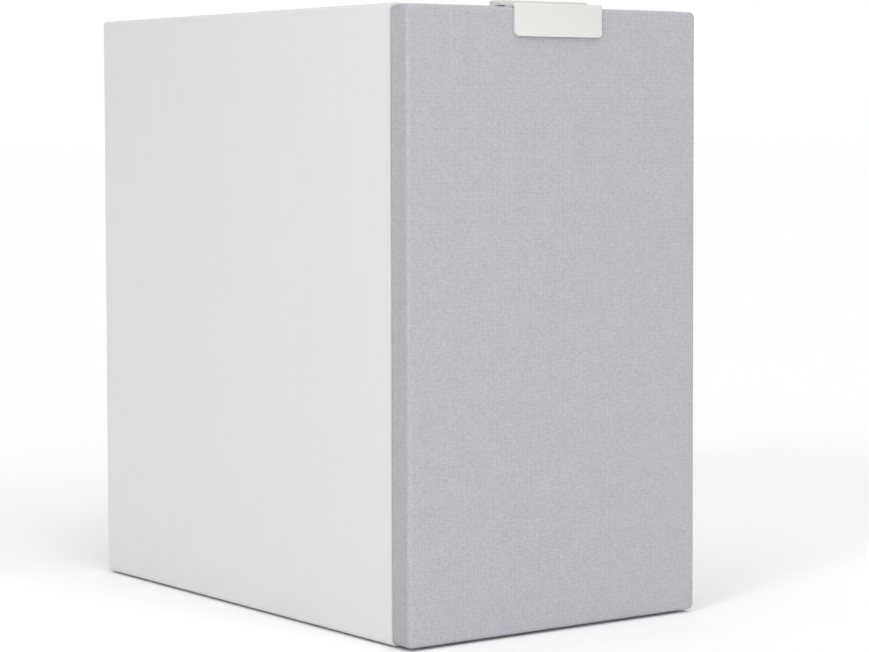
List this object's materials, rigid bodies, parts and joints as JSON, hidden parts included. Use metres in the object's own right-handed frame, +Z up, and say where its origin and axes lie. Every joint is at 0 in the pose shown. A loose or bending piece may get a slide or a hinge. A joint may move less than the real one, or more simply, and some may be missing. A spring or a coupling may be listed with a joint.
{
  "type": "bookshelf speaker",
  "caption": "Compact two-way bookshelf speaker: white box cabinet, cloth front grille with a pull tab, rear port and binding posts.",
  "frame": {"origin": "middle of the object's box, on the surface it stands on", "axes": "+Z up, -Y towards the listener (grille), +X to the viewer's right when facing the grille"},
  "size_m": [0.18, 0.292, 0.3086],
  "materials": {
    "cabinet_lacquer": "satin off-white lacquer on fibreboard",
    "baffle_lacquer": "matt off-white lacquer on fibreboard",
    "bare_fibreboard": "sawn fibreboard",
    "foot_rubber": "matt rubber",
    "magnet_nickel": "nickel-plated magnet",
    "wadding": "soft polyester wadding",
    "frame_plastic": "moulded frame",
    "grille_cloth": "light grey plain-woven grille cloth",
    "tab_plastic": "satin off-white moulding",
    "basket_metal": "black powder coat on die-cast alloy",
    "trim_rubber": "matt rubber trim",
    "surround_rubber": "satin butyl rubber",
    "cone_paper": "silver-grey coated pulp cone",
    "cap_plastic": "black dust cap",
    "former_aluminium": "thin rolled foil",
    "coil_copper": "enamelled copper winding",
    "spider_cloth": "resin-dipped corrugated cloth",
    "plated_steel": "zinc-plated steel",
    "ferrite": "sintered ferrite, densities near enough",
    "terminal_board": "brown laminate with plated lugs",
    "lead_braid": "braided tinsel lead",
    "black_steel": "black-coated screw",
    "faceplate_plastic": "black moulded faceplate",
    "dome_silk": "coated silk dome",
    "port_plastic": "black moulded tube",
    "cup_plastic": "black moulded cup",
    "gold_plate": "gold-plated brass",
    "red_plastic": "red moulded knob",
    "black_plastic": "black moulded knob",
    "circuit_board": "green laminate",
    "film_capacitor": "blue sleeve",
    "foil_capacitor": "yellow sleeve",
    "cement": "white cement body",
    "wire_sleeve": "insulated wire pair"
  },
  "bodies": {
    "root": {"cabinet_left_panel": "cabinet_lacquer", "cabinet_right_panel": "cabinet_lacquer", "cabinet_top_panel": "cabinet_lacquer", "cabinet_bottom_panel": "cabinet_lacquer", "cabinet_rear_panel": "cabinet_lacquer", "front_baffle": "baffle_lacquer", "cabinet_brace": "bare_fibreboard", "rubber_feet": "foot_rubber", "cabinet_magnets": "magnet_nickel", "wadding_left": "wadding", "wadding_right": "wadding", "wadding_top": "wadding", "woofer_basket": "basket_metal", "woofer_trim_ring": "trim_rubber", "woofer_surround": "surround_rubber", "woofer_spider": "spider_cloth", "woofer_front_plate": "plated_steel", "woofer_magnet": "ferrite", "woofer_yoke": "plated_steel", "woofer_terminals": "terminal_board", "woofer_leads": "lead_braid", "woofer_screws": "black_steel", "tweeter_faceplate": "faceplate_plastic", "tweeter_surround": "dome_silk", "tweeter_front_plate": "plated_steel", "tweeter_magnet": "ferrite", "tweeter_yoke": "plated_steel", "tweeter_terminals": "terminal_board", "tweeter_screws": "black_steel", "port_tube": "port_plastic", "terminal_cup": "cup_plastic", "terminal_screws": "black_steel", "red_post": "gold_plate", "black_post": "gold_plate", "post_nuts": "gold_plate", "crossover_board": "circuit_board", "board_fixings": "plated_steel", "bass_inductor": "coil_copper", "treble_inductor": "coil_copper", "bass_capacitor": "film_capacitor", "treble_capacitor": "foil_capacitor", "crossover_resistor": "cement", "woofer_wires": "wire_sleeve", "tweeter_wires": "wire_sleeve", "input_wires": "wire_sleeve"},
    "grille": {"grille_frame": "frame_plastic", "grille_cloth": "grille_cloth", "grille_magnets": "magnet_nickel", "pull_tab": "tab_plastic"},
    "woofer_moving": {"woofer_cone": "cone_paper", "woofer_dust_cap": "cap_plastic", "woofer_former": "former_aluminium", "woofer_voice_coil": "coil_copper"},
    "tweeter_moving": {"tweeter_dome": "dome_silk", "tweeter_voice_coil": "coil_copper"},
    "red_washer": {"red_washer": "gold_plate"},
    "red_knob": {"red_knob": "red_plastic"},
    "black_washer": {"black_washer": "gold_plate"},
    "black_knob": {"black_knob": "black_plastic"}
  },
  "joints": [
    {"name": "grille_pull", "type": "slide", "parent": "root", "child": "grille", "axis": [0, -1, 0], "range_m": [0, 0.06]},
    {"name": "woofer_travel", "type": "slide", "parent": "root", "child": "woofer_moving", "axis": [0, -1, 0], "range_m": [-0.005, 0.005], "stiffness_N_per_m": 900, "deforming": ["woofer_surround", "woofer_spider", "woofer_leads"]},
    {"name": "tweeter_travel", "type": "slide", "parent": "root", "child": "tweeter_moving", "axis": [0, -1, 0], "range_m": [-0.0004, 0.0004], "stiffness_N_per_m": 1500, "deforming": ["tweeter_surround"]},
    {"name": "red_washer_slide", "type": "slide", "parent": "root", "child": "red_washer", "axis": [0, 1, 0], "range_m": [0, 0.004]},
    {"name": "red_knob_turn", "type": "hinge", "parent": "red_washer", "child": "red_knob", "pos_m": [0.019, 0.13035, 0.085], "axis": [0, 1, 0], "range_deg": [0, 1441]},
    {"name": "black_washer_slide", "type": "slide", "parent": "root", "child": "black_washer", "axis": [0, 1, 0], "range_m": [0, 0.004]},
    {"name": "black_knob_turn", "type": "hinge", "parent": "black_washer", "child": "black_knob", "pos_m": [-0.019, 0.13035, 0.085], "axis": [0, 1, 0], "range_deg": [0, 1441]}
  ],
  "couplings": [
    {"joint": "red_knob_turn", "follows": "red_washer_slide", "rad_per_m": 6283.2},
    {"joint": "black_knob_turn", "follows": "black_washer_slide", "rad_per_m": 6283.2}
  ]
}
